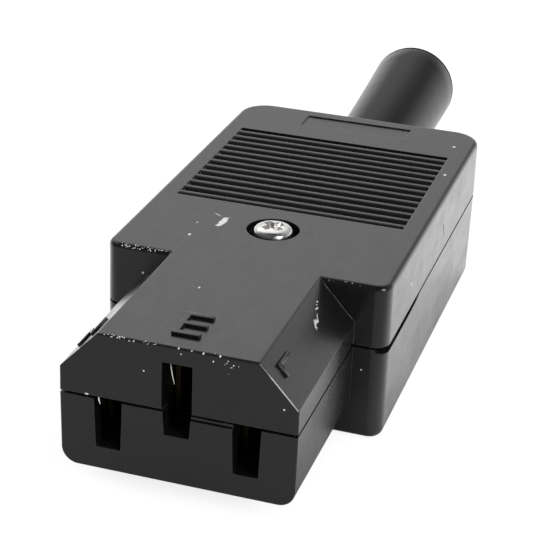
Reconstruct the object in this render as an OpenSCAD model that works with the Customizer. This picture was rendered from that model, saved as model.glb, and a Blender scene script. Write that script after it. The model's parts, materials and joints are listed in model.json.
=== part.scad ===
// Rewirable appliance connector: two moulded half shells held by one screw,
// three female contacts with screw terminals, a cord clamp and a rubber cord boot.
// X runs across the connector, Y from the mating face to the cord, Z up.

/* [Mating nose] */
// Width of the nose that enters the appliance inlet
nose_w = 24; // [22:0.1:26]
// Height of the flat top above the parting plane
nose_top = 7; // [6.6:0.1:7.8]
// Depth of the nose below the parting plane
nose_bottom = 7.9; // [7.5:0.1:9]
// Length of the nose in front of the shoulder
nose_len = 19.4; // [18:0.1:24]
// Width of the slope on each upper corner of the nose
slope_w = 4; // [3:0.1:4.5]
// Height of the slope on each upper corner of the nose
slope_h = 4.3; // [3:0.1:4.8]
// Radius of the lower corners of the nose
nose_corner_r = 1.7; // [0.8:0.1:2]
// Width of the broken edge around the mating face
face_edge = 0.12; // [0.1:0.02:0.3]

/* [Pin openings] */
// Distance between the line and neutral openings
pin_pitch = 14; // [13:0.1:14.6]
// Height of the earth opening's centre above the other two
earth_rise = 4; // [3.6:0.1:4.2]
// Width of each opening
slot_w = 2.9; // [2.4:0.1:3.2]
// How much each opening narrows towards its lower end
slot_taper = 0.36; // [0:0.02:0.5]
// Step to each side where the earth opening crosses into the upper shell
slot_step = 0.08; // [0:0.02:0.1]
// Height of the line and neutral openings
slot_h = 5.4; // [4.8:0.1:5.6]
// Height of the earth opening
earth_slot_h = 7.8; // [7:0.1:8]
// Thickness of the front wall that the openings pass through
front_wall = 1.4; // [1.2:0.1:2]
// Depth below the parting plane of the lip beside the earth opening and its reveal
lip_h = 0.56; // [0.46:0.02:0.66]
// Height of the fine reveal under that lip
lip_reveal = 0.16; // [0.1:0.02:0.2]
// Distance from the mating face back to that lip
lip_inset = 0.12; // [0.06:0.02:0.2]

/* [Housing] */
// Width of the body at the parting plane
body_w = 31; // [30:0.1:36]
// Length of the body from the shoulder to the rear face
body_len = 47.9; // [47:0.1:60]
// Depth of the body below the parting plane
body_bottom = 10.8; // [10:0.1:12]
// Thickness of the side walls
wall = 1.9; // [1.6:0.1:2.2]
// Thickness of the roof over the wiring space
roof = 2.4; // [2.1:0.1:2.7]
// Thickness of the floor under the wiring space
bottom_wall = 1.8; // [1.4:0.1:2]
// Radius of the upright corners at the shoulder
shoulder_r = 1.6; // [1.4:0.1:2.4]
// Radius of the upright corners at the rear
rear_r = 3.6; // [2:0.1:4.5]
// Radius of the upper edge of the body
top_edge_r = 0.6; // [0.3:0.1:0.9]
// Radius of the lower edge of the body
bottom_edge_r = 0.9; // [0.4:0.1:1.1]
// Taper of each half away from the parting plane, per unit of height
draft = 0.008; // [0.008:0.002:0.02]
// Height of the dark reveal between the two halves
parting_reveal = 0.28; // [0.16:0.02:0.32]
// Depth of that reveal into the wall
reveal_depth = 0.5; // [0.3:0.1:0.7]
// Clearance between pieces that fit together
fit_gap = 0.15; // [0.1:0.01:0.2]

/* [Grip and nameplate] */
// Number of half-round grip ribs
rib_count = 13; // [8:1:14]
// Distance from one rib to the next
rib_pitch = 1.74; // [1.5:0.02:1.8]
// Gap between two ribs
rib_gap = 0.4; // [0.3:0.02:0.5]
// Length of each rib across the body
rib_len = 26.2; // [20:0.1:26.6]
// Depth of the grooves between the ribs
rib_depth = 0.95; // [0.8:0.05:1.1]
// Distance from the shoulder to the rib field
rib_start = 15.1; // [14:0.1:15.6]
// Width of the blank nameplate
plate_w = 13.4; // [8:0.1:18]
// Length of the blank nameplate
plate_len = 3.5; // [2:0.1:3.8]
// Depth of the blank nameplate
plate_depth = 0.14; // [0.1:0.02:0.3]
// Distance from the nameplate to the rear face
plate_margin = 2.2; // [1.6:0.1:3]

/* [Housing screw] */
// Distance from the shoulder to the screw
screw_from_shoulder = 9.7; // [9.3:0.1:10.2]
// Diameter of the screw
screw_d = 2.6; // [2.2:0.1:3]
// Diameter of the screw head
screw_head_d = 4.4; // [4:0.1:4.8]
// Height of the screw head
screw_head_h = 2; // [1.6:0.1:2.2]
// Diameter of the counterbore around the head
counterbore_d = 5.8; // [5.4:0.1:6.2]
// Depth of the counterbore
counterbore_depth = 1.7; // [1.5:0.1:2.2]
// Diameter of the upper boss around the screw
boss_d = 6.8; // [6.4:0.1:7.2]
// Diameter of the lower boss, which holds the nut
nut_boss_d = 8; // [7.6:0.1:8.4]
// Width across the square nut
nut_w = 5; // [4.5:0.1:5.2]
// Thickness of the square nut
nut_h = 1.8; // [1.4:0.1:2.2]
// Wall between the floor's inner face and the nut
nut_lift = 1.2; // [0.8:0.1:1.6]

/* [Contacts and terminals] */
// Thickness of the contact sheet
sheet = 0.5; // [0.4:0.05:0.55]
// Gap between the spring beads inside each sleeve
bead_gap = 1.6; // [1.4:0.1:1.8]
// Distance from the front wall back to the mouth of each contact
contact_recess = 2.6; // [2:0.1:2.8]
// Length of each contact sleeve
sleeve_len = 10.4; // [9:0.1:10.4]
// Width of each terminal pad
pad_w = 6; // [5.6:0.1:6.2]
// Length of each terminal pad
pad_len = 6; // [5.4:0.1:6.2]
// Diameter of the terminal screws
terminal_screw_d = 2.6; // [2.2:0.1:2.8]
// Diameter of the terminal screw heads
terminal_head_d = 4.6; // [4:0.1:5]
// Height of the terminal screw heads
terminal_head_h = 1.6; // [1.2:0.1:1.8]
// Length of the terminal screws under the head
terminal_screw_len = 4; // [3.4:0.1:4.2]
// Width of the square wire clamp plates
clamp_plate_w = 5.2; // [4.8:0.1:5.4]
// Thickness of the wire clamp plates
clamp_plate_h = 0.8; // [0.6:0.1:1]
// Thickness of the partitions between the terminals
partition_t = 1.2; // [0.9:0.1:1.3]
// Height of the partitions above the parting plane
partition_rise = 2.4; // [1:0.1:3.4]

/* [Cord clamp] */
// Diameter of the cord that the clamp and boot take
cord_d = 6.6; // [6:0.1:6.8]
// Slack around the cord in the boot
cord_slack = 0.1; // [0.05:0.05:0.2]
// Distance from the clamp's centre to the rear face
clamp_from_rear = 13; // [12:0.1:15]
// Width of the clamp bar along the cord
clamp_bar_w = 5; // [4:0.1:6]
// Thickness of the clamp bar
clamp_bar_t = 1.6; // [1.4:0.1:1.8]
// Distance between the two clamp screws
clamp_pitch = 16.4; // [15.6:0.1:17.4]
// Drop of the cord below the parting plane at the clamp
clamp_drop = 1; // [0.8:0.1:1.6]
// Diameter of the posts under the bar
clamp_post_d = 5.4; // [5:0.1:5.6]
// Diameter of the clamp screws
clamp_screw_d = 2.6; // [2.2:0.1:2.9]
// Length of the clamp screws under the head
clamp_screw_len = 9; // [7:0.1:9.4]

/* [Cord boot] */
// Length of the boot behind the rear face
boot_reach = 32.7; // [20:0.1:45]
// Radius of the boot where it passes the rear wall
boot_neck_r = 4.3; // [4.1:0.05:4.4]
// Radius of the boot close behind the rear wall
boot_root_r = 5.1; // [4.7:0.05:5.6]
// Outer radius of the boot at its mouth
boot_mouth_r = 5.95; // [5.2:0.05:7]
// Radius of the flange that holds the boot in the housing
boot_flange_r = 5.5; // [5.2:0.05:5.7]
// Thickness of that flange
boot_flange_t = 2; // [1.6:0.1:2.4]
// Thickness of the rear wall behind the flange
rear_wall = 2.6; // [2.2:0.1:3]
// Thickness of the bulkhead in front of the flange
bulkhead_t = 1.6; // [1.2:0.1:2]
// Thickness of the boot's lip at the mouth
boot_lip = 0.7; // [0.5:0.05:0.9]
// Length of the flared stretch inside the mouth
boot_bell_len = 7; // [4:0.5:9]

/* [Hidden] */
$fn = 64;

// Small length by which a cut passes its face
over = 0.5;
rear_y = nose_len + body_len;
overall_len = rear_y + boot_reach;

// Inside of the housing
half_space = body_w / 2 - wall;
space_top = nose_top - roof;
space_floor = body_bottom - bottom_wall;
space_front = nose_len + wall;
groove_front = rear_y - rear_wall - boot_flange_t - 2 * fit_gap;
space_rear = groove_front - bulkhead_t;
tongue_h = 0.9;
peg_d = 1.8;
peg_h = 2;
peg_inset = 1.8;

// Contact channels: each sleeve lies on the floor of its channel
slot_z = -slot_h / 2;
earth_z = slot_z + earth_rise;
line_floor = -slot_h - fit_gap;
earth_floor = earth_z - earth_slot_h / 2 - fit_gap;
earth_ceiling = earth_z + earth_slot_h / 2 + fit_gap;
sleeve_w = slot_w + 2 * fit_gap;
sleeve_y = front_wall + contact_recess;
sleeve_end = sleeve_y + sleeve_len;
channel_w = sleeve_w + 2 * fit_gap;

// Terminals: pads beside the sleeves, on pedestals of the lower shell
pad_gap = 0.6;
line_pad_x = pin_pitch / 2 + (pad_w - sleeve_w) / 2;
line_pad_y = space_front + pad_gap + pad_len / 2;
earth_pad_y = sleeve_end + 2 * pad_gap + pad_len / 2;
partition_x = line_pad_x - pad_w / 2 - partition_t - 2 * fit_gap;
collar_d = terminal_screw_d + 1.4;
collar_h = 1.2;
plate_seat = sheet + clamp_plate_h;

// Housing screw, its counterbore and its nut
screw_y = nose_len + screw_from_shoulder;
screw_seat = nose_top - counterbore_depth;
nut_z = nut_lift - space_floor;
screw_past_nut = 0.6;
housing_screw_len = screw_seat - nut_z + screw_past_nut;

// Cord clamp
clamp_y = rear_y - clamp_from_rear;
saddle_r = cord_d / 2;
bore_r = saddle_r + cord_slack;
bar_z = 0.2;
bar_end = clamp_pitch / 2 + clamp_post_d / 2;

black = [0.07, 0.07, 0.075];
rubber = [0.1, 0.1, 0.1];
brass = [0.78, 0.62, 0.28];
nickel = [0.75, 0.74, 0.71];

// ---- shared forms

// Centres the part on its base: origin under the middle of its length
module placed() {
    translate([0, -overall_len / 2, body_bottom]) children();
}

// Block between two limits along each axis
module block(x, y, z) {
    translate([x[0], y[0], z[0]]) cube([x[1] - x[0], y[1] - y[0], z[1] - z[0]]);
}

// Runs an outline drawn in X and Z towards the rear
module along_y(from, length) {
    translate([0, from + length, 0]) rotate([90, 0, 0]) linear_extrude(length) children();
}

// Rod along Y, centred on the cord's line at height z
module rod_y(r, from, to, z = 0) {
    translate([0, from, z]) rotate([-90, 0, 0]) cylinder(r = r, h = to - from);
}

// Copies its child to both sides
module both_sides() {
    for (side = [0, 1]) mirror([side, 0, 0]) children();
}

// How far the draft brings a side in over a height, to a thousandth
function taper(h) = round(1000 * draft * h) / 1000;

// Half section: from the middle out to a drafted side with a rounded outer edge
module edge_profile(reach, h, r) {
    cx = reach - taper(h - r) - r;
    polygon([[0, 0], [reach, 0], [cx + r, h - r], [cx, h], [0, h]]);
    translate([cx, h - r]) intersection() {
        circle(r = r);
        square(r);
    }
}

module full_profile(w, h, r) {
    edge_profile(w / 2, h, r);
    mirror([1, 0]) edge_profile(w / 2, h, r);
}

// One half of the body, above z = 0: drafted walls, upright corners, rounded outer edge
module half_body(h, r) {
    edge_r = min(r, 0.6 * shoulder_r);
    module end_strip(width) {
        rotate([90, 0, 90]) translate([0, 0, -width / 2])
            linear_extrude(width) edge_profile(body_len / 2, h, edge_r);
    }
    module corner(r_corner, y, turn) {
        translate([body_w / 2 - r_corner, y, 0]) rotate([0, 0, turn])
            rotate_extrude(angle = 90) edge_profile(r_corner, h, edge_r);
    }
    along_y(nose_len + shoulder_r, body_len - shoulder_r - rear_r) full_profile(body_w, h, edge_r);
    translate([0, nose_len + body_len / 2, 0]) {
        end_strip(body_w - 2 * rear_r);
        mirror([0, 1, 0]) end_strip(body_w - 2 * shoulder_r);
    }
    both_sides() {
        corner(rear_r, rear_y - rear_r, 0);
        corner(shoulder_r, nose_len + shoulder_r, -90);
    }
}

// Pin opening from the parting plane to a height, narrower there by a given amount
module slot_outline(w, h, narrowing = 0) {
    end_w = w - narrowing;
    polygon([[-w / 2, 0], [w / 2, 0], [end_w / 2, h], [-end_w / 2, h]]);
}

// Breaks the edge between the mating face and the side from p to q, given in X and Z
module broken_edge(p, q) {
    run = q - p;
    translate([p[0], 0, p[1]]) rotate([0, -atan2(run[1], run[0]), 0]) rotate([90, 0, 90])
        linear_extrude(height = norm(run))
            polygon([[-face_edge, 0], [0, -face_edge], [face_edge, 0], [0, face_edge]]);
}

// Recess of a cross drive: a cone in the middle and four wings that narrow towards the bottom
module cross_recess(head_d, from, to) {
    translate([0, 0, from]) cylinder(d1 = head_d * 0.18, d2 = head_d * 0.45, h = to - from);
    for (turn = [0, 90]) rotate([0, 0, turn]) translate([0, head_d * 0.1, 0])
        rotate([90, 0, 0]) linear_extrude(head_d * 0.2) polygon([[-head_d * 0.14, from],
            [head_d * 0.14, from], [head_d * 0.36, to], [-head_d * 0.36, to]]);
}

// Screw pointing down, with the underside of its domed head at z = 0
module pan_screw(d, length, head_d, head_h, cross = false) {
    cap_h = head_h * 0.38;
    cap_r = (pow(head_d / 2, 2) + pow(cap_h, 2)) / (2 * cap_h);
    drive_z = head_h * 0.4;
    tip = 0.4;
    difference() {
        union() {
            rotate_extrude() intersection() {
                square([head_d / 2, head_h]);
                translate([0, head_h - cap_r]) circle(r = cap_r);
            }
            translate([0, 0, tip - length]) cylinder(d = d, h = length - tip + over);
            translate([0, 0, -length]) cylinder(d1 = d * 0.6, d2 = d, h = tip);
        }
        if (cross) {
            cross_recess(head_d, drive_z, head_h + over);
        } else {
            block([-head_d, head_d], [-head_d * 0.08, head_d * 0.08], [drive_z, head_h + over]);
        }
    }
}

// ---- features that both shells share

// Seat of the boot: a groove for its flange and a way out for its neck
module boot_seat() {
    rod_y(boot_flange_r + fit_gap, groove_front, rear_y - rear_wall);
    rod_y(boot_neck_r + fit_gap, space_rear - over, rear_y + over);
}

// Reveal around the outside at the parting plane, cut into the half above z = 0
module reveal() {
    height = parting_reveal / 2;
    difference() {
        block([-body_w, body_w], [-over, rear_y + over], [-over, height]);
        block([reveal_depth - nose_w / 2, nose_w / 2 - reveal_depth],
            [reveal_depth, rear_y - reveal_depth], [-2 * over, height + over]);
        block([reveal_depth - body_w / 2, body_w / 2 - reveal_depth],
            [nose_len + reveal_depth, rear_y - reveal_depth], [-2 * over, height + over]);
    }
}

// Side tongue on the lower shell's wall; gap widens it into the upper shell's rebate
module side_tongue(gap) {
    both_sides() block([half_space - gap, half_space + wall / 2 - fit_gap + gap],
        [space_front + wall - gap, space_rear - wall + gap], [-over, tongue_h + gap]);
}

// Alignment peg beside each outer channel; gap widens it into a socket
module side_peg(gap) {
    both_sides() translate([nose_w / 2 - peg_inset, nose_len / 2, -over])
        cylinder(d = peg_d + 2 * gap, h = peg_h + over + gap);
}

// ---- upper shell

module upper_nose() {
    hip = nose_top - slope_h;
    hip_x = nose_w / 2 - taper(hip);
    top_x = nose_w / 2 - slope_w;
    difference() {
        along_y(0, nose_len + shoulder_r) polygon([[-nose_w / 2, 0], [nose_w / 2, 0],
            [hip_x, hip], [top_x, nose_top], [-top_x, nose_top], [-hip_x, hip]]);
        both_sides() {
            broken_edge([nose_w / 2, 0], [hip_x, hip]);
            broken_edge([hip_x, hip], [top_x, nose_top]);
        }
        broken_edge([top_x, nose_top], [-top_x, nose_top]);
    }
}

// Grip: a recess with half-round ribs that reach the flush top
module rib_field() {
    rib_r = (rib_pitch - rib_gap) / 2;
    difference() {
        block([-rib_len / 2, rib_len / 2], [0, rib_count * rib_pitch + rib_gap],
            [nose_top - rib_depth, nose_top + over]);
        for (i = [0 : rib_count - 1])
            translate([-rib_len / 2 - over, rib_gap + rib_r + i * rib_pitch, nose_top - rib_r]) {
                rotate([0, 90, 0]) cylinder(r = rib_r, h = rib_len + 2 * over);
                translate([0, -rib_r, -rib_depth]) cube([rib_len + 2 * over, 2 * rib_r, rib_depth]);
            }
    }
}

module upper_shell() {
    color(black) placed() difference() {
        union() {
            upper_nose();
            half_body(nose_top, top_edge_r);
        }
        // wiring space, reaching forward over the earth terminal, around the screw's boss
        difference() {
            union() {
                block([-half_space, half_space], [space_front, space_rear], [-over, space_top]);
                block([-partition_x, partition_x], [sleeve_end + fit_gap, space_front + over],
                    [-over, space_top]);
            }
            translate([0, screw_y, -over]) cylinder(d = boss_d, h = nose_top);
        }
        // earth contact's channel and opening
        block([-channel_w / 2, channel_w / 2], [front_wall, sleeve_end + over], [-over, earth_ceiling]);
        along_y(-over, front_wall + 2 * over)
            slot_outline(slot_w + 2 * slot_step, earth_ceiling - fit_gap);
        // housing screw
        translate([0, screw_y, -over]) cylinder(d = screw_d + 2 * fit_gap, h = nose_top);
        translate([0, screw_y, screw_seat]) cylinder(d = counterbore_d, h = nose_top);
        boot_seat();
        reveal();
        side_tongue(fit_gap);
        side_peg(fit_gap);
        translate([0, nose_len + rib_start, 0]) rib_field();
        // blank nameplate
        block([-plate_w / 2, plate_w / 2], [rear_y - plate_margin - plate_len, rear_y - plate_margin],
            [nose_top - plate_depth, nose_top + over]);
    }
}

// ---- lower shell

module lower_nose() {
    cz = nose_bottom - nose_corner_r;
    side_x = nose_w / 2 - taper(cz);
    cx = side_x - nose_corner_r;
    mirror([0, 0, 1]) difference() {
        along_y(0, nose_len + shoulder_r) full_profile(nose_w, nose_bottom, nose_corner_r);
        broken_edge([cx, nose_bottom], [-cx, nose_bottom]);
        both_sides() {
            broken_edge([nose_w / 2, 0], [side_x, cz]);
            // the same break around the rounded corner
            translate([cx, 0, cz]) intersection() {
                block([0, nose_w], [-over, face_edge], [0, nose_w]);
                rotate([-90, 0, 0]) difference() {
                    translate([0, 0, -over]) cylinder(r = nose_corner_r + over, h = over + face_edge);
                    translate([0, 0, -face_edge]) cylinder(r1 = nose_corner_r - 2 * face_edge,
                        r2 = nose_corner_r + face_edge, h = 3 * face_edge);
                }
            }
        }
    }
}

// Pedestals, partitions, nut boss, cord saddle and clamp posts that stand on the floor
module lower_furniture() {
    floor_z = -space_floor - over;
    saddle_w = clamp_pitch - clamp_post_d + 2 * fit_gap;
    both_sides() {
        block([line_pad_x - pad_w / 2, line_pad_x + pad_w / 2],
            [space_front - over, line_pad_y + pad_len / 2], [floor_z, line_floor]);
        block([partition_x, partition_x + partition_t],
            [space_front - over, line_pad_y + pad_len / 2], [floor_z, 0]);
        block([partition_x, partition_x + partition_t],
            [space_front + fit_gap, line_pad_y + pad_len / 2], [-over, partition_rise]);
        translate([clamp_pitch / 2, clamp_y, floor_z]) cylinder(d = clamp_post_d, h = bar_z - floor_z);
    }
    block([-partition_x - over, partition_x + over],
        [space_front - over, earth_pad_y + pad_len / 2], [floor_z, earth_floor]);
    translate([0, screw_y, floor_z]) cylinder(d = nut_boss_d, h = -floor_z);
    block([-saddle_w / 2, saddle_w / 2],
        [clamp_y - clamp_bar_w / 2, clamp_y + clamp_bar_w / 2], [floor_z, -clamp_drop]);
}

// Lip between the earth and line openings, set back from the face above a second reveal
module front_lip() {
    x = [slot_w / 2 - over, pin_pitch / 2 - slot_w / 2 + over];
    block(x, [-over, lip_inset], [-lip_h, over]);
    block(x, [-over, reveal_depth], [-lip_h, lip_reveal - lip_h]);
}

// Hole under a terminal for its collar and the tip of its screw
module terminal_relief(x, y, top) {
    depth = terminal_screw_len - plate_seat + fit_gap;
    translate([x, y, top - depth]) cylinder(d = collar_d + 2 * fit_gap, h = depth + over);
}

module lower_shell() {
    nut_half = nut_w / 2 + fit_gap;
    nut_room = nut_h + fit_gap;
    color(black) placed() difference() {
        union() {
            difference() {
                union() {
                    lower_nose();
                    mirror([0, 0, 1]) half_body(body_bottom, bottom_edge_r);
                }
                block([-half_space, half_space], [space_front, space_rear], [-space_floor, over]);
            }
            lower_furniture();
            side_tongue(0);
            side_peg(0);
        }
        // outer channels and openings
        both_sides() translate([pin_pitch / 2, 0, 0]) {
            block([-channel_w / 2, channel_w / 2], [front_wall, space_front + over], [line_floor, over]);
            mirror([0, 0, 1]) along_y(-over, front_wall + 2 * over)
                slot_outline(slot_w, slot_h, slot_taper);
            terminal_relief(line_pad_x - pin_pitch / 2, line_pad_y, line_floor);
        }
        // earth channel, bay and opening
        block([-channel_w / 2, channel_w / 2], [front_wall, sleeve_end + over], [earth_floor, over]);
        block([-partition_x, partition_x], [sleeve_end + fit_gap, space_front + over],
            [earth_floor, over]);
        mirror([0, 0, 1]) along_y(-over, front_wall + 2 * over)
            slot_outline(slot_w, -earth_floor - fit_gap, slot_taper);
        front_lip();
        terminal_relief(0, earth_pad_y, earth_floor);
        // housing screw and the pocket that takes its nut from the rear
        translate([0, screw_y, screw_seat - housing_screw_len - fit_gap])
            cylinder(d = screw_d + 2 * fit_gap, h = space_floor);
        block([-nut_half, nut_half], [screw_y - nut_half, screw_y + nut_boss_d],
            [nut_z, nut_z + nut_room]);
        // cord clamp
        rod_y(saddle_r, clamp_y - clamp_bar_w, clamp_y + clamp_bar_w, -clamp_drop);
        both_sides()
            translate([clamp_pitch / 2, clamp_y, bar_z + clamp_bar_t - clamp_screw_len - fit_gap])
                cylinder(d = clamp_screw_d + 2 * fit_gap, h = clamp_screw_len);
        boot_seat();
        mirror([0, 0, 1]) reveal();
    }
}

// ---- fasteners of the housing

module housing_screw() {
    color(nickel) placed() translate([0, screw_y, screw_seat])
        pan_screw(screw_d, housing_screw_len, screw_head_d, screw_head_h, cross = true);
}

module housing_nut() {
    color(nickel) placed() translate([0, screw_y, nut_z]) difference() {
        block([-nut_w / 2, nut_w / 2], [-nut_w / 2, nut_w / 2], [0, nut_h]);
        translate([0, 0, -over]) cylinder(d = screw_d + 2 * fit_gap, h = nut_h + 2 * over);
    }
}

// ---- contacts

// Folded sleeve on a channel floor, open along its top seam, with a bead in each side
module sleeve(h) {
    inner_w = sleeve_w - 2 * sheet;
    fold_r = sheet;
    along_y(sleeve_y, sleeve_len) difference() {
        union() {
            translate([-sleeve_w / 2, fold_r]) square([sleeve_w, h - 2 * fold_r]);
            translate([fold_r - sleeve_w / 2, 0]) square([sleeve_w - 2 * fold_r, h]);
            for (x = [fold_r - sleeve_w / 2, sleeve_w / 2 - fold_r], z = [fold_r, h - fold_r])
                translate([x, z]) circle(r = fold_r);
        }
        translate([-inner_w / 2, sheet]) square([inner_w, h - 2 * sheet]);
        translate([-sheet / 2, h - 2 * sheet]) square([sheet, 3 * sheet]);
    }
    both_sides() block([bead_gap / 2, inner_w / 2 + sheet / 2],
        [sleeve_y + sleeve_len * 0.3, sleeve_y + sleeve_len * 0.5], [h * 0.3, h * 0.7]);
}

// Contact with its sleeve on the Y axis and its pad centred at (x, y) on the same floor
module contact(h, x, y) {
    difference() {
        union() {
            sleeve(h);
            block([-sleeve_w / 2, sleeve_w / 2], [sleeve_end - sheet, y], [0, sheet]);
            block([x - pad_w / 2, x + pad_w / 2], [y - pad_len / 2, y + pad_len / 2], [0, sheet]);
            translate([x, y, -collar_h]) cylinder(d = collar_d, h = collar_h + sheet);
        }
        translate([x, y, -collar_h - over])
            cylinder(d = terminal_screw_d + 2 * fit_gap, h = collar_h + sheet + 2 * over);
    }
}

// side is 1 for line and -1 for neutral
module outer_contact(side) {
    color(brass) placed() mirror([side < 0 ? 1 : 0, 0, 0]) translate([pin_pitch / 2, 0, line_floor])
        contact(slot_h, line_pad_x - pin_pitch / 2, line_pad_y);
}

module line_contact() {
    outer_contact(1);
}

module neutral_contact() {
    outer_contact(-1);
}

module earth_contact() {
    color(brass) placed() translate([0, 0, earth_floor]) contact(earth_slot_h, 0, earth_pad_y);
}

// ---- terminal screws and wire clamp plates, on the pad whose floor is given

module terminal_screw(x, y, floor_z) {
    color(nickel) placed() translate([x, y, floor_z + plate_seat])
        pan_screw(terminal_screw_d, terminal_screw_len, terminal_head_d, terminal_head_h);
}

module wire_clamp(x, y, floor_z) {
    half_w = clamp_plate_w / 2;
    color(nickel) placed() translate([x, y, floor_z + sheet]) difference() {
        block([-half_w, half_w], [-half_w, half_w], [0, clamp_plate_h]);
        translate([0, 0, -over])
            cylinder(d = terminal_screw_d + 2 * fit_gap, h = clamp_plate_h + 2 * over);
    }
}

module line_terminal_screw() {
    terminal_screw(line_pad_x, line_pad_y, line_floor);
}

module neutral_terminal_screw() {
    terminal_screw(-line_pad_x, line_pad_y, line_floor);
}

module earth_terminal_screw() {
    terminal_screw(0, earth_pad_y, earth_floor);
}

module line_wire_clamp() {
    wire_clamp(line_pad_x, line_pad_y, line_floor);
}

module neutral_wire_clamp() {
    wire_clamp(-line_pad_x, line_pad_y, line_floor);
}

module earth_wire_clamp() {
    wire_clamp(0, earth_pad_y, earth_floor);
}

// ---- cord clamp

module cord_clamp_bar() {
    half_w = clamp_bar_w / 2;
    arch_r = saddle_r + clamp_bar_t * 0.75;
    color(black) placed() translate([0, clamp_y, 0]) difference() {
        union() {
            block([-bar_end, bar_end], [-half_w, half_w], [bar_z, bar_z + clamp_bar_t]);
            intersection() {
                rod_y(arch_r, -half_w, half_w, -clamp_drop);
                block([-arch_r, arch_r], [-half_w, half_w], [bar_z, arch_r]);
            }
        }
        rod_y(saddle_r, -clamp_bar_w, clamp_bar_w, -clamp_drop);
        both_sides() translate([clamp_pitch / 2, 0, 0])
            cylinder(d = clamp_screw_d + 2 * fit_gap, h = bar_z + 2 * clamp_bar_t);
    }
}

module cord_clamp_screw(side) {
    color(nickel) placed() translate([side * clamp_pitch / 2, clamp_y, bar_z + clamp_bar_t])
        pan_screw(clamp_screw_d, clamp_screw_len, terminal_head_d, terminal_head_h, cross = true);
}

module cord_clamp_screw_left() {
    cord_clamp_screw(-1);
}

module cord_clamp_screw_right() {
    cord_clamp_screw(1);
}

// ---- cord boot

// Turned about the cord's line: neck and flange in the housing, then a cone out to the bell mouth
module cord_boot() {
    flange_y = groove_front + fit_gap;
    root_y = rear_y + fit_gap;
    lip_r = boot_lip / 2;
    color(rubber) placed() rotate([-90, 0, 0]) rotate_extrude() difference() {
        union() {
            polygon([[0, space_rear], [boot_neck_r, space_rear], [boot_neck_r, root_y],
                [boot_root_r, root_y], [boot_mouth_r, overall_len - lip_r], [0, overall_len - lip_r]]);
            translate([0, flange_y]) square([boot_flange_r, boot_flange_t]);
            translate([0, overall_len - 2 * lip_r]) square([boot_mouth_r - lip_r, 2 * lip_r]);
            translate([boot_mouth_r - lip_r, overall_len - lip_r]) circle(r = lip_r);
        }
        translate([0, space_rear - over]) square([bore_r, overall_len]);
        polygon([[0, overall_len - boot_bell_len], [bore_r, overall_len - boot_bell_len],
            [boot_mouth_r - boot_lip, overall_len - lip_r], [boot_mouth_r - boot_lip, overall_len + over],
            [0, overall_len + over]]);
    }
}

upper_shell();
lower_shell();
housing_screw();
housing_nut();
cord_boot();
line_contact();
neutral_contact();
earth_contact();
line_terminal_screw();
neutral_terminal_screw();
earth_terminal_screw();
line_wire_clamp();
neutral_wire_clamp();
earth_wire_clamp();
cord_clamp_bar();
cord_clamp_screw_left();
cord_clamp_screw_right();
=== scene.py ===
"""Finish, stage and camera of a rewirable C13 power connector, dressed on its CAD solids."""

import json
import math

import bpy
from mathutils import Matrix, Vector


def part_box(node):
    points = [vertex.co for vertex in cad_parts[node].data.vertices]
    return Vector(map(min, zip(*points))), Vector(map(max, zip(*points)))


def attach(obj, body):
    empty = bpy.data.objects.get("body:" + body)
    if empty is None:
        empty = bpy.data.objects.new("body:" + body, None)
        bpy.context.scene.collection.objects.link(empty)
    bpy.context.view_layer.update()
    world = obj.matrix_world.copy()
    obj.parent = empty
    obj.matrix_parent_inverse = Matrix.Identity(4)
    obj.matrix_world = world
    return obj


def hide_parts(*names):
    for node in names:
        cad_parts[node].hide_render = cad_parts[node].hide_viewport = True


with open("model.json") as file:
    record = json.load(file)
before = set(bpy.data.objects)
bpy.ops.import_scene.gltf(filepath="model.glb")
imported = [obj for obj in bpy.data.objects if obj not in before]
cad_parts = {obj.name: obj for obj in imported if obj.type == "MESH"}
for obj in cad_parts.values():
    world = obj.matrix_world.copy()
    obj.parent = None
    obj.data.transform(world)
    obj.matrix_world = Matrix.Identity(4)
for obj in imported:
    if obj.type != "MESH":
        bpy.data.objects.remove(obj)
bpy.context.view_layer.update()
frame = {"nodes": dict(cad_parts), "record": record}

MM = 0.001
BODY_LENGTH = 47.9 * MM

# Landmarks of the housing, in metres
shell_low, shell_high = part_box("upper_shell")
FACE_Y = shell_low.y
REAR_Y = shell_high.y
TOP_Z = shell_high.z
PARTING_Z = shell_low.z
boot_low, boot_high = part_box("cord_boot")
CORD_Z = (boot_low.z + boot_high.z) / 2
SHOULDER_Y = REAR_Y - BODY_LENGTH

# The same landmarks in millimetres, for patterns
FACE = FACE_Y / MM
SHOULDER = SHOULDER_Y / MM
TOP = TOP_Z / MM
PARTING = PARTING_Z / MM
RIGHT_SIDE = shell_high.x / MM
BOOT_END = boot_high.y / MM

# Ribbed grip on top, in millimetres behind the shoulder
GRIP_START = 15.1
GRIP_LENGTH = 23.0

# ---------------------------------------------------------------- materials


def number_node(tree, operation, first, second):
    """One sum, product or comparison of two values, each a number or another node's output."""
    node = tree.nodes.new("ShaderNodeMath")
    node.operation = operation
    for socket, value in zip(node.inputs, (first, second)):
        if isinstance(value, (int, float)):
            socket.default_value = value
        else:
            tree.links.new(value, socket)
    return node.outputs["Value"]


def ramp_node(tree, value, low, high, to_low, to_high, easing="SMOOTHSTEP"):
    """Carries a value from one range to another and holds it at both ends."""
    node = tree.nodes.new("ShaderNodeMapRange")
    node.interpolation_type = easing
    limits = (("From Min", low), ("From Max", high), ("To Min", to_low), ("To Max", to_high))
    for name, number in limits:
        node.inputs[name].default_value = number
    tree.links.new(value, node.inputs["Value"])
    return node.outputs["Result"]


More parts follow.
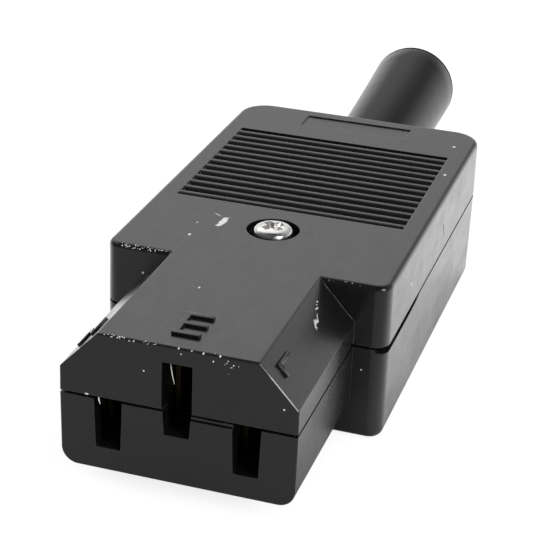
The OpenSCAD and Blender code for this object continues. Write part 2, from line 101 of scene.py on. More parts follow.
class Shader:
    """A material whose pattern is laid out in millimetres on the object's own coordinates."""

    def __init__(self, name):
        self.material = bpy.data.materials.new(name)
        self.material.use_nodes = True
        self.tree = self.material.node_tree
        self.surface = self.tree.nodes["Principled BSDF"]
        coordinates = self.tree.nodes.new("ShaderNodeTexCoord")
        scale = self.tree.nodes.new("ShaderNodeMapping")
        scale.inputs["Scale"].default_value = (1000, 1000, 1000)
        self.tree.links.new(coordinates.outputs["Object"], scale.inputs["Vector"])
        self.millimetres = scale.outputs["Vector"]

    def link(self, source, name):
        self.tree.links.new(source, self.surface.inputs[name])

    def set(self, name, value):
        self.surface.inputs[name].default_value = value

    def scaled(self, scale):
        """Coordinates scaled by a different amount each way, for a pattern that is drawn out."""
        node = self.tree.nodes.new("ShaderNodeMapping")
        node.inputs["Scale"].default_value = scale
        self.tree.links.new(self.millimetres, node.inputs["Vector"])
        return node.outputs["Vector"]

    def noise(self, scale, detail=2.0, roughness=0.5, vector=None):
        node = self.tree.nodes.new("ShaderNodeTexNoise")
        node.inputs["Scale"].default_value = scale
        node.inputs["Detail"].default_value = detail
        node.inputs["Roughness"].default_value = roughness
        self.tree.links.new(vector or self.millimetres, node.inputs["Vector"])
        return node.outputs["Fac"]

    def cells(self, size):
        """Distance to the nearest scattered point, in cells of a size in millimetres, and its chance."""
        node = self.tree.nodes.new("ShaderNodeTexVoronoi")
        node.inputs["Scale"].default_value = 1 / size
        self.tree.links.new(self.millimetres, node.inputs["Vector"])
        split = self.tree.nodes.new("ShaderNodeSeparateColor")
        self.tree.links.new(node.outputs["Color"], split.inputs["Color"])
        return node.outputs["Distance"], split.outputs["Red"]

    def near(self, centre, reach, turn=(0, 0, 0)):
        """1 at a place, falling to 0 at a reach in millimetres along each axis, turned in degrees."""
        node = self.tree.nodes.new("ShaderNodeMapping")
        node.vector_type = "TEXTURE"
        node.inputs["Location"].default_value = centre
        node.inputs["Rotation"].default_value = [math.radians(angle) for angle in turn]
        node.inputs["Scale"].default_value = reach
        self.tree.links.new(self.millimetres, node.inputs["Vector"])
        length = self.tree.nodes.new("ShaderNodeVectorMath")
        length.operation = "LENGTH"
        self.tree.links.new(node.outputs["Vector"], length.inputs[0])
        return self.remap(length.outputs["Value"], 0.0, 1.0, 1.0, 0.0)

    def along(self, axis):
        """X, Y or Z in millimetres."""
        split = self.tree.nodes.new("ShaderNodeSeparateXYZ")
        self.tree.links.new(self.millimetres, split.inputs["Vector"])
        return split.outputs[axis]

    def remap(self, value, low, high, to_low=0.0, to_high=1.0):
        return ramp_node(self.tree, value, low, high, to_low, to_high, "LINEAR")

    def math(self, operation, first, second):
        return number_node(self.tree, operation, first, second)

    def most(self, *patterns):
        """The strongest of several patterns."""
        strongest = patterns[0]
        for pattern in patterns[1:]:
            strongest = self.math("MAXIMUM", strongest, pattern)
        return strongest

    def blend(self, factor, first, second):
        """Mixes two colours by a factor."""
        node = self.tree.nodes.new("ShaderNodeMix")
        node.data_type = "RGBA"
        self.tree.links.new(factor, node.inputs["Factor"])
        for index, value in ((6, first), (7, second)):
            if isinstance(value, tuple):
                node.inputs[index].default_value = (*value, 1.0)
            else:
                self.tree.links.new(value, node.inputs[index])
        return node.outputs[2]

    def rounded(self, radius):
        """Surface direction with every edge rounded by a radius in millimetres, which may vary."""
        node = self.tree.nodes.new("ShaderNodeBevel")
        node.samples = 6
        if isinstance(radius, (int, float)):
            node.inputs["Radius"].default_value = radius * MM
        else:
            self.tree.links.new(self.math("MULTIPLY", radius, MM), node.inputs["Radius"])
        return node.outputs["Normal"]

    def edges(self, radius):
        """0 on flat stretches, 1 where rounding by a radius turns the surface by 21 degrees or more."""
        flat = self.tree.nodes.new("ShaderNodeNewGeometry")
        dot = self.tree.nodes.new("ShaderNodeVectorMath")
        dot.operation = "DOT_PRODUCT"
        self.tree.links.new(self.rounded(radius), dot.inputs[0])
        self.tree.links.new(flat.outputs["Normal"], dot.inputs[1])
        flat_cosine = 0.995
        edge_cosine = 0.93
        return self.remap(dot.outputs["Value"], flat_cosine, edge_cosine)

    def bump(self, height, depth, strength, normal):
        """Relief of a height pattern on top of a surface direction, with its depth in millimetres."""
        node = self.tree.nodes.new("ShaderNodeBump")
        node.inputs["Distance"].default_value = depth * MM
        node.inputs["Strength"].default_value = strength
        self.tree.links.new(height, node.inputs["Height"])
        self.tree.links.new(normal, node.inputs["Normal"])
        return node.outputs["Normal"]


def specks(shader, size, largest, likely):
    """Specks of uneven size in some of the cells of a size in millimetres, as likely as a pattern says."""
    distance, chance = shader.cells(size)
    least_likely = 0.00001
    rarity = shader.math("DIVIDE", chance, shader.math("MAXIMUM", likely, least_likely))
    radius = shader.remap(rarity, 0.0, 1.0, largest / size, 0.0)
    return shader.math("LESS_THAN", distance, radius)


def dust(shader):
    """White specks: few and scattered, thick at the top of the mating face, strung along three edges."""
    patchy = shader.noise(0.1, 2.0)
    scattered = specks(shader, 1.7, 0.11, shader.remap(patchy, 0.5, 0.65, 0.0, 0.06))
    by_face = shader.near((2.0, FACE, TOP - 0.6), (8.5, 1.0, 2.6))
    settled = specks(shader, 0.7, 0.12, shader.remap(by_face, 0.0, 0.8, 0.0, 0.35))
    heap = shader.near((5.1, FACE, TOP - 1.0), (1.3, 0.6, 0.8))
    heaped = specks(shader, 0.24, 0.09, shader.remap(heap, 0.0, 0.6, 0.0, 1.0))
    nose_edge = ((-5.4, FACE, TOP), (4.2, 0.3, 0.3), 1.6)
    left_shoulder_edge = ((-11.6, SHOULDER + 0.2, TOP - 0.1), (4.4, 0.35, 0.3), 1.6)
    right_shoulder_edge = ((11.4, SHOULDER + 0.2, TOP - 0.1), (3.0, 0.3, 0.3), 0.5)
    strings = []
    for centre, reach, likely in (nose_edge, left_shoulder_edge, right_shoulder_edge):
        string = shader.remap(shader.near(centre, reach), 0.0, 0.3, 0.0, likely)
        strings.append(specks(shader, 0.2, 0.075, string))
    return shader.most(scattered, settled, heaped, *strings)


def stuck_specks(shader):
    """Single larger specks, each a place in millimetres and a size, longer than wide."""
    on_top = [
        ((12.99, FACE + 61.44, TOP), 0.19),
        ((13.93, FACE + 51.94, TOP), 0.19),
        ((-8.22, FACE + 27.8, TOP), 0.1),
        ((-7.89, FACE + 24.49, TOP), 0.18),
        ((-2.49, FACE + 12.72, TOP), 0.12),
    ]
    on_right_side = [
        ((15.45, FACE + 29.7, PARTING + 3.0), 0.18),
        ((15.09, FACE + 18.86, PARTING + 6.6), 0.2),
    ]
    on_shoulders = [
        ((-11.2, SHOULDER, PARTING + 4.1), 0.15),
        ((13.0, SHOULDER, PARTING - 2.65), 0.1),
    ]
    on_mating_face = [
        ((-3.33, FACE, PARTING + 3.9), 0.1),
        ((0.12, FACE, PARTING + 6.95), 0.1),
        ((0.37, FACE, PARTING + 6.4), 0.08),
        ((2.57, FACE, PARTING + 6.9), 0.11),
        ((10.55, FACE, PARTING + 2.6), 0.11),
    ]
    marks = []
    for centre, size in on_top + on_right_side + on_shoulders + on_mating_face:
        marks.append(shader.remap(shader.near(centre, (size, 1.6 * size, size)), 0.0, 0.25))
    return shader.most(*marks)


def flake(shader):
    """A ragged white flake that lies on top, left of the screw, with a faint tail."""
    ragged = shader.remap(shader.noise(2.0, 4.0, 0.7), 0.3, 0.7, -0.28, 0.28)
    body = shader.near((-5.72, FACE + 29.1, TOP), (0.58, 1.9, 0.5), (0, 0, -6))
    tail = shader.near((-6.85, FACE + 30.65, TOP), (0.16, 0.75, 0.5), (0, 0, 58))
    solid = shader.remap(shader.math("ADD", body, ragged), 0.34, 0.4)
    faint = shader.remap(tail, 0.0, 0.6, 0.0, 0.5)
    return shader.most(solid, faint)


def side_scratch(shader):
    """1 in a short fine scratch that leans down the right side of the body."""
    centre = (RIGHT_SIDE, FACE + 45.85, PARTING + 2.7)
    return shader.remap(shader.near(centre, (0.8, 0.16, 1.2), (27, 0, 0)), 0.0, 0.2)


def painted_seam_shade(shader):
    """1 in a band of painted shade, standing in for a gap where the halves part a little, low on the right
    side behind the shoulder.
    """
    centre = (RIGHT_SIDE, SHOULDER + 3.5, PARTING - 0.27)
    return shader.remap(shader.near(centre, (1.4, 12.0, 0.42)), 0.0, 0.15)


def on_grip(shader):
    """1 between the first and the last rib of the grip."""
    start = SHOULDER + GRIP_START
    end = start + GRIP_LENGTH
    after_start = shader.remap(shader.along("Y"), start, start + 0.2)
    before_end = shader.remap(shader.along("Y"), end, end - 0.2)
    return shader.math("MULTIPLY", after_start, before_end)


def moulded_plastic(name, nose_rounding):
    """Black satin plastic with a fine grain, worn edges, dust, painted shade along part of the parting
    seam, and a rounding on top of the nose.
    """
    shader = Shader(name)
    grain = shader.noise(7.0, 3.0, 0.6)
    cloud = shader.noise(0.3, 3.0, 0.6)
    rubbed = shader.noise(0.5, 4.0, 0.6, shader.scaled((1.6, 0.35, 1.0)))
    grip = on_grip(shader)
    black_tone = shader.blend(cloud, (0.0045, 0.0045, 0.0048), (0.0075, 0.0075, 0.0078))
    in_places = shader.remap(shader.noise(0.8, 3.0), 0.5, 0.7, 0.0, 0.28)
    worn = shader.math("MULTIPLY", shader.edges(0.16), in_places)
    worn = shader.math("MULTIPLY", worn, shader.math("SUBTRACT", 1.0, grip))
    worn_tone = shader.blend(worn, black_tone, (0.16, 0.16, 0.16))
    marks = shader.most(dust(shader), flake(shader), stuck_specks(shader))
    shader.link(shader.blend(marks, worn_tone, (1.0, 1.0, 0.98)), "Base Color")
    uneven = shader.remap(cloud, 0.35, 0.65, 0.225, 0.28)
    satin = shader.math("ADD", uneven, shader.remap(rubbed, 0.4, 0.7, 0.0, 0.07))
    scratched = side_scratch(shader)
    # Painted shade of the parting gap: in the seam band the plastic turns rougher and loses its specular
    # and coat, so it renders dark.
    seam_shade = painted_seam_shade(shader)
    unpolished = shader.math("MULTIPLY", shader.most(marks, scratched, seam_shade), 0.6)
    shader.link(shader.math("ADD", satin, unpolished), "Roughness")
    shader.link(shader.remap(seam_shade, 0.0, 1.0, 0.5, 0.0), "Specular IOR Level")
    shader.link(shader.remap(seam_shade, 0.0, 1.0, 0.4, 0.0), "Coat Weight")
    shader.set("Coat Roughness", 0.24)
    mould_rounding = 0.09
    rib_rounding = 0.16
    on_top = shader.remap(shader.along("Z"), TOP - 1.5, TOP - 0.6)
    on_nose = shader.remap(shader.along("Y"), SHOULDER + 0.2, SHOULDER - 0.6)
    softer_nose = shader.math("MULTIPLY", on_nose, nose_rounding - mould_rounding)
    softer = shader.math("ADD", softer_nose, shader.math("MULTIPLY", grip, rib_rounding))
    radius = shader.math("ADD", mould_rounding, shader.math("MULTIPLY", on_top, softer))
    relief = shader.bump(grain, 0.004, 0.35, shader.rounded(radius))
    relief = shader.bump(scratched, 0.06, 1.0, relief)
    shader.link(relief, "Normal")
    shader.link(relief, "Coat Normal")
    return shader.material


def soft_rubber(name):
    """Black rubber, a little duller than the shells, with faint rings, a painted glint, and painted shade
    in a rougher band at the mouth rim.
    """
    shader = Shader(name)
    cloud = shader.noise(0.35, 3.0, 0.6)
    rings = shader.noise(0.9, 2.0, 0.5, shader.scaled((0.05, 1.0, 0.05)))
    rubber_tone = shader.blend(cloud, (0.005, 0.005, 0.005), (0.008, 0.008, 0.008))
    # Painted glint: a faint light streak blended into the base colour of the boot.
    painted_glint = shader.near((5.77, FACE + 75.1, PARTING + 6.3), (0.14, 0.8, 0.8), (0, 0, 45))
    painted_glint_strength = shader.remap(painted_glint, 0.0, 0.5, 0.0, 0.5)
    shader.link(shader.blend(painted_glint_strength, rubber_tone, (0.25, 0.25, 0.25)), "Base Color")
    # Painted shade at the mouth rim: a band that loses nearly all its specular and turns rougher, so it
    # renders as a dark rim.
    shaded_mouth_rim = shader.remap(shader.along("Y"), BOOT_END - 0.8, BOOT_END - 0.65)
    rim_roughening = shader.math("MULTIPLY", shaded_mouth_rim, 0.4)
    shader.link(shader.math("ADD", shader.remap(rings, 0.3, 0.7, 0.24, 0.29), rim_roughening), "Roughness")
    shader.set("IOR", 1.22)
    shader.link(shader.remap(shaded_mouth_rim, 0.0, 1.0, 0.5, 0.04), "Specular IOR Level")
    relief = shader.bump(shader.noise(5.0, 3.0, 0.6), 0.006, 0.4, shader.rounded(0.12))
    shader.link(relief, "Normal")
    return shader.material


def metal(name, colour, tarnish, roughness):
    """Bright metal with drawn streaks and a darker film in patches."""
    shader = Shader(name)
    shader.set("Metallic", 1.0)
    film = shader.remap(shader.noise(0.9, 4.0, 0.65), 0.42, 0.68)
    streaks = shader.noise(5.0, 3.0, 0.6, shader.scaled((1.0, 0.2, 1.0)))
    shader.link(shader.blend(film, colour, tarnish), "Base Color")
    shader.link(shader.remap(streaks, 0.3, 0.7, roughness - 0.06, roughness + 0.08), "Roughness")
    shader.link(shader.bump(streaks, 0.003, 0.4, shader.rounded(0.06)), "Normal")
    return shader.material


def lint(name):
    """Dull white threads, a little uneven in tone."""
    shader = Shader(name)
    shader.link(shader.blend(shader.noise(6.0), (0.80, 0.80, 0.78), (0.95, 0.95, 0.94)), "Base Color")
    shader.set("Roughness", 0.8)
    return shader.material


black = moulded_plastic("black_moulded_plastic", 0.32)
raised_black = moulded_plastic("black_raised_plastic", 0.09)
rubber = soft_rubber("black_soft_rubber")
nickel = metal("nickel_plated_steel", (0.97, 0.96, 0.95), (0.80, 0.79, 0.77), 0.26)
# Brass darkened far below its own colour: painted shade for the contacts deep inside the openings.
shade_darkened_brass = metal("contact_brass", (0.07, 0.055, 0.03), (0.03, 0.024, 0.015), 0.42)
white_lint = lint("white_lint")
FINISHES = {"shell_plastic": black, "boot_rubber": rubber, "screw_nickel": nickel, "contact_brass": shade_darkened_brass}
for part in frame["record"]["subparts"]:
    node = frame["nodes"][part["node"]]
    node.data.materials.clear()
    node.data.materials.append(FINISHES[part["material_slot"]])

# ---------------------------------------------------------------- modelling by hand


def nothing_selected():
    bpy.ops.object.select_all(action="DESELECT")


def select_only(piece):
    nothing_selected()
    piece.select_set(True)
    bpy.context.view_layer.objects.active = piece


def edit(piece):
    """Opens the piece in edit mode with all of it selected."""
    select_only(piece)
    bpy.ops.object.mode_set(mode="EDIT")
    bpy.ops.mesh.select_all(action="SELECT")


def done():
    bpy.ops.object.mode_set(mode="OBJECT")


def face_outwards():
    bpy.ops.mesh.select_all(action="SELECT")
    bpy.ops.mesh.normals_make_consistent(inside=False)


def settle(piece):
    """Puts the piece's place and turn into its mesh."""
    select_only(piece)
    bpy.ops.object.transform_apply(location=True, rotation=True, scale=True)


def apply_modifiers(piece):
    select_only(piece)
    for modifier in list(piece.modifiers):
        bpy.ops.object.modifier_apply(modifier=modifier.name)


def combine(piece, operation, others):
    """Joins other pieces to a piece, or cuts them out of it, and takes them away."""
    for other in others:
        modifier = piece.modifiers.new("combined", "BOOLEAN")
        modifier.operation = operation
        modifier.solver = "EXACT"
        modifier.object = other
    apply_modifiers(piece)
    for other in others:
        bpy.data.objects.remove(other)


def ease_edges(piece, width, turn):
    """Rounds by a width in millimetres the edges that turn by more than an angle in degrees."""
    eased = piece.modifiers.new("eased", "BEVEL")
    eased.width = width * MM
    eased.segments = 2
    eased.angle_limit = math.radians(turn)
    apply_modifiers(piece)
    bpy.ops.object.shade_smooth_by_angle(angle=math.radians(turn))


def finish_piece(piece, name, material):
    """Names a piece, gives it its material and lets it ride on the one body."""
    piece.name = name
    piece.data.materials.clear()
    piece.data.materials.append(material)
    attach(piece, "root")


def drawn_out(points, radii, sides, aim, fill="NOTHING"):
    """A ring that faces an aim, drawn out through points with a radius at each, left in edit mode."""
    nothing_selected()
    bpy.ops.mesh.primitive_circle_add(vertices=sides, radius=radii[0], fill_type=fill,
        location=points[0], rotation=aim)
    piece = bpy.context.object
    settle(piece)
    edit(piece)
    for i in range(1, len(points)):
        grow = radii[i] / radii[i - 1]
        bpy.ops.mesh.extrude_region_move(TRANSFORM_OT_translate={"value": points[i] - points[i - 1]})
        bpy.ops.transform.resize(value=(grow, grow, grow), center_override=points[i])
    return piece


# ---------------------------------------------------------------- raised polarity marks

# Top of each slope from the middle, and the slope's run across and down
SLOPE_X = 8.0 * MM
SLOPE_RUN = Vector((3.957, 0, -4.3)).normalized()


def mark_place(side):
    """Frame of a marked face: X down the slope or across the top, Y to the rear, Z out of the face."""
    if side == 0:
        return Matrix.Translation((0, FACE_Y, TOP_Z))
    across = Vector((SLOPE_RUN.x, 0, side * SLOPE_RUN.z))
    out = Vector((side * -SLOPE_RUN.z, 0, SLOPE_RUN.x))
    turn = Matrix((across, Vector((0, 1, 0)), out)).transposed().to_4x4()
    return Matrix.Translation((side * SLOPE_X, FACE_Y, TOP_Z)) @ turn


def mark_bar(place, start, end, width, height):
    """One bar of a mark, between two ends in millimetres, sunk a little into the marked face."""
    nothing_selected()
    sunk = 0.1
    run = Vector(end) - Vector(start)
    middle = (Vector(start) + Vector(end)) / 2
    bpy.ops.mesh.primitive_cube_add(size=1)
    bar = bpy.context.object
    size = Matrix.Diagonal(((run.length + width) * MM, width * MM, (height + sunk) * MM, 1))
    centre = Matrix.Translation((middle.x * MM, middle.y * MM, (height - sunk) / 2 * MM))
    turn = Matrix.Rotation(math.atan2(run.y, run.x), 4, "Z")
    bar.matrix_world = place @ centre @ turn @ size
    settle(bar)
    edit(bar)
    face_outwards()
    done()
    return bar


def raised_mark(name, side, height, strokes):
    """A letter moulded proud of the upper shell, its bars joined and their edges eased."""
    place = mark_place(side)
    bars = [mark_bar(place, start, end, width, height) for start, end, width in strokes]
    mark = bars[0]
    combine(mark, "UNION", bars[1:])
    edit(mark)
    bpy.ops.mesh.dissolve_limited(angle_limit=math.radians(1))
    done()
    ease_edges(mark, 0.05, 40)
    finish_piece(mark, name, raised_black)


def earth_mark():
    """E on top of the nose, beside the earth opening."""
    left = -1.22
    right = 1.0
    front = 2.66
    back = 6.57
    spine = ((left, front), (left, back), 0.56)
    rows = [((left, y), (right, y), 0.62) for y in (front, 4.67, back)]
    raised_mark("raised_earth_mark", 0, 0.3, [spine, *rows])


def line_mark():
    """L on the slope beside the line opening."""
    stroke = 0.44
    upper = 1.72
    front = 2.28
    stem = ((upper, front), (upper, 4.9), stroke)
    foot = ((upper, front), (2.8, front), stroke)
    raised_mark("raised_line_mark", 1, 0.25, [stem, foot])


def neutral_mark():
    """N on the slope beside the neutral opening."""
    stroke = 0.44
    front = 2.37
    back = 5.18
    stems = [((x, front), (x, back), stroke) for x in (-2.0, -4.0)]
    diagonal = ((-3.95, back - 0.08), (-2.05, front + 0.08), stroke)
    raised_mark("raised_neutral_mark", -1, 0.3, [*stems, diagonal])


# ---------------------------------------------------------------- housing screw


def recess_arm(middle, turn):
    """One arm of the cross recess, as the shape to cut away: a bar that narrows downwards."""
    length = 2.7
    width = 0.95
    height = 1.5
    sunk = 0.1
    nothing_selected()
    bpy.ops.mesh.primitive_cube_add(size=1, location=(middle.x, middle.y, TOP_Z - sunk * MM),
        rotation=(0, 0, math.radians(turn)), scale=(length * MM, width * MM, height * MM))
    arm = bpy.context.object
    settle(arm)
    edit(arm)
    bpy.ops.mesh.select_all(action="DESELECT")
    done()
    for vertex in arm.data.vertices:
        vertex.select = vertex.co.z < TOP_Z - height / 3 * MM
    bpy.ops.object.mode_set(mode="EDIT")
    narrowing = 0.55
    bpy.ops.transform.resize(value=(narrowing, narrowing, 1), center_override=(middle.x, middle.y, TOP_Z))
    done()
    return arm


def pan_head_screw():
    """Pan-headed screw with a cross recess, which stands a little proud of its counterbore."""
    low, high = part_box("housing_screw")
    middle = (low + high) / 2
    tip = (low.z - TOP_Z) / MM
    seat = -1.7
    shank_r = 1.3
    head_r = 2.2
    shank = [(tip, shank_r - 0.3), (tip + 0.3, shank_r), (seat, shank_r)]
    head = [(seat, head_r - 0.1), (seat + 0.1, head_r), (-0.8, head_r)]
    crown = [(-0.3, 2.18), (0.0, 2.1), (0.2, 1.95), (0.34, 1.7), (0.43, 1.3), (0.49, 0.7), (0.5, 0.2)]
    profile = shank + head + crown
    points = [Vector((middle.x, middle.y, TOP_Z + z * MM)) for z, _ in profile]
    radii = [r * MM for _, r in profile]
    screw = drawn_out(points, radii, 64, (0, 0, 0), "NGON")
    bpy.ops.mesh.select_all(action="SELECT")
    bpy.ops.mesh.remove_doubles(threshold=0.000001)
    face_outwards()
    done()
    combine(screw, "DIFFERENCE", [recess_arm(middle, turn) for turn in (50, 140)])
    ease_edges(screw, 0.05, 35)
    finish_piece(screw, "pan_head_screw", nickel)
    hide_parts("housing_screw")


# ---------------------------------------------------------------- cord boot


def leaning(distance, reach):
    """Middle of the boot at a distance behind the housing: further out it leans to the left and up."""
    if distance <= 0:
        return Vector((0, distance, 0))
    out = (distance / reach) ** 1.5
    left = 0.1 + 0.7 * out
    up = 0.75 * out
    return Vector((-left, distance, up))


def bent_cord_boot():
    """Rubber boot: flange and neck held in the housing, a cone that leans a little, and a bell mouth."""
    front = (boot_low.y - REAR_Y) / MM
    reach = (boot_high.y - REAR_Y) / MM
    neck_r = 4.3
    flange_r = 5.5
    flange_front = -4.75
    flange_back = -2.75
    root = 0.15
    root_r = 5.1
    mouth_r = boot_high.x / MM
    bore_r = 3.4
    lip = 0.35
    bell_r = mouth_r - 2 * lip
    neck = [(front, neck_r), (flange_front, neck_r)]
    flange = [(flange_front, flange_r), (flange_back, flange_r), (flange_back, neck_r)]
    cone = [(root, neck_r), (root, root_r)]
    rings = 10
    for i in range(1, rings + 1):
        along = i / rings
        cone.append((root + (reach - lip - root) * along, root_r + (mouth_r - root_r) * along))
    mouth = []
    for angle in (30, 60, 90, 120, 150):
        turn = math.radians(angle)
        mouth.append((reach - lip + lip * math.sin(turn), mouth_r - lip + lip * math.cos(turn)))
    bell = [(reach - lip, bell_r), (reach - 3.7, (bell_r + bore_r) / 2), (reach - 7, bore_r)]
    bore = [(y, bore_r) for y in (20, 14, 8, 2, front)]
    profile = neck + flange + cone + mouth + bell + bore
    origin = Vector((0, REAR_Y, CORD_Z))
    points = [origin + leaning(y, reach) * MM for y, _ in profile]
    radii = [r * MM for _, r in profile]
    boot = drawn_out(points, radii, 72, (math.radians(90), 0, 0))
    bpy.ops.mesh.select_all(action="DESELECT")
    bpy.ops.mesh.select_non_manifold()
    bpy.ops.mesh.bridge_edge_loops()
    face_outwards()
    done()
    bpy.ops.object.shade_smooth_by_angle(angle=math.radians(35))
    finish_piece(boot, "bent_cord_boot", rubber)
    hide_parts("cord_boot")


# ---------------------------------------------------------------- lint


LINT_ORIGIN = Vector((0, FACE_Y, PARTING_Z))


def fibre(name, points, thickness):
    """A thread of lint with a thickness at each of its points, all in millimetres, thin at both ends."""
    places = [LINT_ORIGIN + Vector(point) * MM for point in points]
    radii = [width / 2 * MM for width in thickness]
    radii[0] *= 0.4
    radii[-1] *= 0.4
    aim = (places[1] - places[0]).to_track_quat("Z", "Y").to_euler()
    thread = drawn_out(places, radii, 6, aim)
    bpy.ops.mesh.select_all(action="DESELECT")
    bpy.ops.mesh.select_non_manifold()
    bpy.ops.mesh.edge_face_add()
    face_outwards()
    done()
    bpy.ops.object.shade_smooth_by_angle(angle=math.radians(60))
    finish_piece(thread, name, white_lint)


def lint_crumb(name, centre, radius):
    """A crumb of lint, longer than wide."""
    nothing_selected()
    bpy.ops.mesh.primitive_ico_sphere_add(subdivisions=2, radius=radius * MM, location=centre)
    crumb = bpy.context.object
    settle(crumb)
    edit(crumb)
    bpy.ops.transform.resize(value=(0.8, 1.3, 0.8), center_override=centre)
    done()
    bpy.ops.object.shade_smooth()
    finish_piece(crumb, name, white_lint)


def lint_on_slope():
    """Pale lint caught on the right slope, close to the shoulder: a tangle, with crumbs behind it."""
    start = Vector((8.87, 15.9, 6.06))
    end = Vector((9.86, 12.2, 4.98))
    turns = 17
    points = []
    thickness = []
    for i in range(turns):
        along = i / (turns - 1)
        swing = (0.1 + 0.3 * along) * (-1) ** i * (0.6 + 0.4 * math.sin(2.4 * i))
        wander = 0.16 * math.sin(5.0 * along + 0.5)
        points.append(start.lerp(end, 0.42 + 0.58 * along) + SLOPE_RUN * (swing + wander))
        thickness.append(0.1 + 0.12 * math.sin(2.9 * i + 0.8) ** 2)
    fibre("lint_tangle_on_slope", points, thickness)
    crumbs = [(0.0, 0.0, 0.11), (0.13, -0.05, 0.08), (0.2, 0.1, 0.1), (0.3, -0.1, 0.12)]
    for i, (along, aside, radius) in enumerate(crumbs, 1):
        centre = LINT_ORIGIN + (start.lerp(end, along) + SLOPE_RUN * aside) * MM
        lint_crumb(f"lint_crumb_{i}", centre, radius)


def lint_on_mating_face():
    """Two fibres that hang out of openings and one that lies on the parting line."""
    in_earth_opening = [(-0.78, 0.35, 5.0), (-0.66, 0.3, 4.4), (-0.6, 0.38, 3.8), (-0.43, 0.5, 2.8)]
    fibre("lint_fibre_in_earth_opening", in_earth_opening, [0.1] * 4)
    in_left_opening = [(-8.0, 0.12, 0.2), (-7.94, 0.05, -0.2), (-7.84, 0.1, -0.7)]
    fibre("lint_fibre_in_left_opening", in_left_opening, [0.16] * 3)
    on_parting_line = [(-9.4, 0.0, 0.2), (-9.2, -0.02, 0.23), (-8.98, 0.0, 0.2)]
    fibre("lint_dash_on_parting_line", on_parting_line, [0.2] * 3)


earth_mark()
line_mark()
neutral_mark()
pan_head_screw()
lint_on_slope()
bent_cord_boot()
lint_on_mating_face()

# ---------------------------------------------------------------- stage


def along_room(tree, output, axis):
    """X, Y or Z of the room: Y is negative towards the camera's end and positive behind the part."""
    coordinates = tree.nodes.new("ShaderNodeTexCoord")
    split = tree.nodes.new("ShaderNodeSeparateXYZ")
    tree.links.new(coordinates.outputs[output], split.inputs["Vector"])
    return split.outputs[axis]


def stage_floor():
    """White floor that the part's gloss sees dimmer in front of the mating face and close to the part."""
    nothing_selected()
    bpy.ops.mesh.primitive_plane_add(size=6.0, location=(0, 0, 0))
    floor = bpy.context.object
    floor.name = "floor"
    material = bpy.data.materials.new("white_floor")
    material.use_nodes = True
    tree = material.node_tree
    tree.nodes.clear()
    output = tree.nodes.new("ShaderNodeOutputMaterial")
    diffuse = tree.nodes.new("ShaderNodeBsdfDiffuse")
    diffuse.inputs["Color"].default_value = (0.45, 0.45, 0.45, 1)
    glow = tree.nodes.new("ShaderNodeEmission")
    path = tree.nodes.new("ShaderNodeLightPath")
    open_floor = tree.nodes.new("ShaderNodeAmbientOcclusion")
    open_floor.samples = 8
    open_floor.inputs["Distance"].default_value = 30 * MM
    dimmest = 0.125
    fade = 40 * MM
    beside_part = ramp_node(tree, along_room(tree, "Object", "Y"), FACE_Y, FACE_Y + fade, dimmest, 1.0)
    clear_of_part = ramp_node(tree, open_floor.outputs["AO"], 0.28, 0.78, 0.0, 1.0)
    brightness = number_node(tree, "MULTIPLY", beside_part, clear_of_part)
    for_gloss = number_node(tree, "MULTIPLY", path.outputs["Is Glossy Ray"], brightness)
    own_white = 0.81
    for_camera = number_node(tree, "MULTIPLY", path.outputs["Is Camera Ray"], own_white)
    tree.links.new(number_node(tree, "ADD", for_gloss, for_camera), glow.inputs["Strength"])
    both = tree.nodes.new("ShaderNodeAddShader")
    tree.links.new(diffuse.outputs[0], both.inputs[0])
    tree.links.new(glow.outputs[0], both.inputs[1])
    tree.links.new(both.outputs[0], output.inputs["Surface"])
    floor.data.materials.append(material)


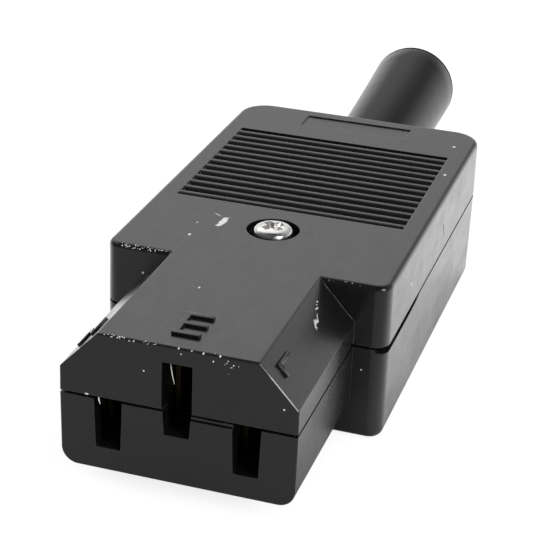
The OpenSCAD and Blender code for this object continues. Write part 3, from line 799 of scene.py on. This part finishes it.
def room_brightness(tree):
    """The room as gloss sees it: bright behind, dim at the camera's end, overhead and in a low band."""
    across = along_room(tree, "Generated", "X")
    back = along_room(tree, "Generated", "Y")
    up = along_room(tree, "Generated", "Z")
    back_wall = ramp_node(tree, back, -0.15, 0.5, 0.08, 1.0)
    band = ramp_node(tree, across, 0.0, 0.5, 0.32, 0.7)
    lifted = number_node(tree, "ADD", up, ramp_node(tree, across, -0.1, 0.1, 0.0, 0.13))
    above_band = ramp_node(tree, up, 0.31, 0.45, 0.0, 1.0)
    below_band = ramp_node(tree, lifted, 0.29, 0.13, 0.0, 1.0)
    off_band = number_node(tree, "MAXIMUM", above_band, below_band)
    on_band = number_node(tree, "SUBTRACT", 1.0, off_band)
    banded = number_node(tree, "ADD", off_band, number_node(tree, "MULTIPLY", band, on_band))
    ceiling = ramp_node(tree, up, 0.86, 1.0, 1.15, 0.08)
    right = ramp_node(tree, across, -0.3, 0.3, 0.0, 0.65)
    corner = number_node(tree, "MULTIPLY", right, ramp_node(tree, up, 0.22, 0.32, 0.0, 1.0))
    upper = number_node(tree, "MULTIPLY", ceiling, number_node(tree, "SUBTRACT", 1.0, corner))
    return number_node(tree, "MULTIPLY", number_node(tree, "MULTIPLY", back_wall, upper), banded)


def stage_world():
    """White room: plain white behind the part, uneven in the part's gloss, and even light on the rest."""
    world = bpy.data.worlds.new("studio")
    bpy.context.scene.world = world
    world.use_nodes = True
    tree = world.node_tree
    background = tree.nodes["Background"]
    background.inputs["Color"].default_value = (1, 1, 1, 1)
    path = tree.nodes.new("ShaderNodeLightPath")
    camera_ray = path.outputs["Is Camera Ray"]
    glossy_ray = path.outputs["Is Glossy Ray"]
    for_gloss = number_node(tree, "MULTIPLY", glossy_ray, room_brightness(tree))
    seen = number_node(tree, "ADD", for_gloss, camera_ray)
    others = number_node(tree, "SUBTRACT", 1.0, number_node(tree, "MAXIMUM", camera_ray, glossy_ray))
    ambient = number_node(tree, "MULTIPLY", others, 0.6)
    tree.links.new(number_node(tree, "ADD", seen, ambient), background.inputs["Strength"])


def stage_lamp():
    """One soft round lamp in front, to the right and above."""
    place = Vector((0.40, -0.30, 0.26))
    aim = Vector((0, 0, 0.01))
    data = bpy.data.lights.new("key", "AREA")
    data.shape = "DISK"
    data.size = 0.16
    data.energy = 1.1
    lamp = bpy.data.objects.new("key", data)
    bpy.context.scene.collection.objects.link(lamp)
    lamp.location = place
    lamp.rotation_euler = (aim - place).to_track_quat("-Z", "Y").to_euler()


def stage_camera():
    """Long lens in front, a little to the right and above, turned, tilted down and rolled in degrees."""
    data = bpy.data.cameras.new("camera")
    data.lens = 107.55
    data.sensor_width = 36
    data.clip_start = 0.01
    camera = bpy.data.objects.new("camera", data)
    bpy.context.scene.collection.objects.link(camera)
    place = Matrix.Translation((0.046835, -0.175993, 0.089551))
    turn = Matrix.Rotation(math.radians(16.66), 4, "Z")
    tilt = Matrix.Rotation(math.radians(90 - 25.468), 4, "X")
    roll = Matrix.Rotation(math.radians(2.369), 4, "Z")
    camera.matrix_world = place @ turn @ tilt @ roll
    bpy.context.scene.camera = camera


stage_floor()
stage_world()
stage_camera()
stage_lamp()
bpy.context.scene.view_settings.view_transform = "Standard"
